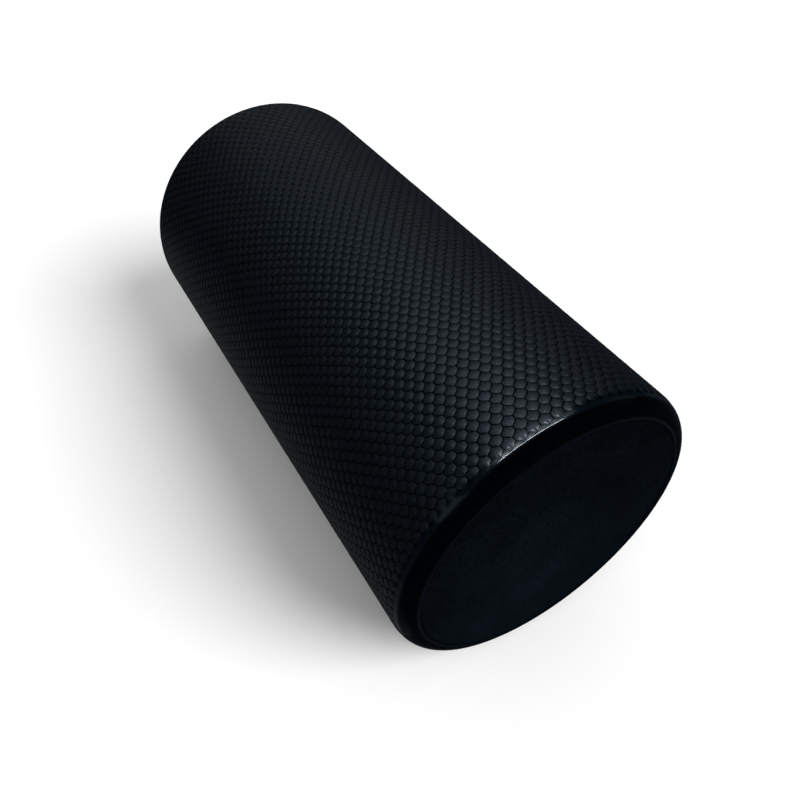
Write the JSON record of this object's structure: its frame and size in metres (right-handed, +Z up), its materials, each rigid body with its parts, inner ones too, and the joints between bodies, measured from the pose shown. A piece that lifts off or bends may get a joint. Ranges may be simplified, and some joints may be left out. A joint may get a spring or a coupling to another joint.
{
  "type": "foam roller",
  "caption": "Solid cylindrical foam roller with a fine diamond-embossed dark skin, rounded shoulders and flat matt foam ends, lying on its side.",
  "frame": {"origin": "on the floor, under the middle of the roller as it lies on its side", "axes": "+X along the roller's axis, towards its right end, +Z up"},
  "size_m": [0.3, 0.15, 0.15],
  "materials": {
    "skin_foam": "satin embossed skin",
    "disc_foam": "matt fine-grained cut foam",
    "core_foam": "matt cut foam"
  },
  "bodies": {
    "root": {"embossed_skin": "skin_foam", "end_disc_right": "disc_foam", "end_disc_left": "disc_foam", "core_slab_bottom": "core_foam", "core_slab_middle": "core_foam", "core_slab_top": "core_foam"}
  },
  "joints": []
}
